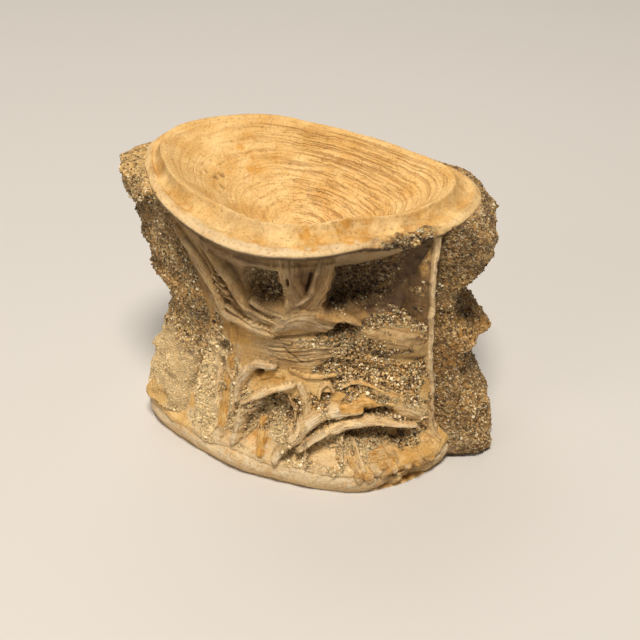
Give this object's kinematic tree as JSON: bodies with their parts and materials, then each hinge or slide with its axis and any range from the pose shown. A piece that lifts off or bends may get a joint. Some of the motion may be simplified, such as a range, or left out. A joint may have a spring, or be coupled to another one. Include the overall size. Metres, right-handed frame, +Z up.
{
  "type": "fossil mosasaur vertebra",
  "caption": "Waisted fossil vertebra with a hollow ringed face at each end, pitted and strutted sides, and sandy rock stuck to both flanks.",
  "frame": {"origin": "middle of the part's outline seen from above, on the surface it rests on", "axes": "+Z up from the lower hollow face to the upper one, +X along the long way of the oval faces, -Y towards the side that the picture shows"},
  "size_m": [0.052, 0.0368, 0.0395],
  "materials": {
    "bone": "matte cream fossil bone with orange stains",
    "rock_left": "rough grey and beige phosphate sand",
    "rock_right": "rough brown and beige phosphate sand"
  },
  "bodies": {
    "root": {"centrum": "bone", "rock_left": "rock_left", "rock_right": "rock_right"}
  },
  "joints": []
}
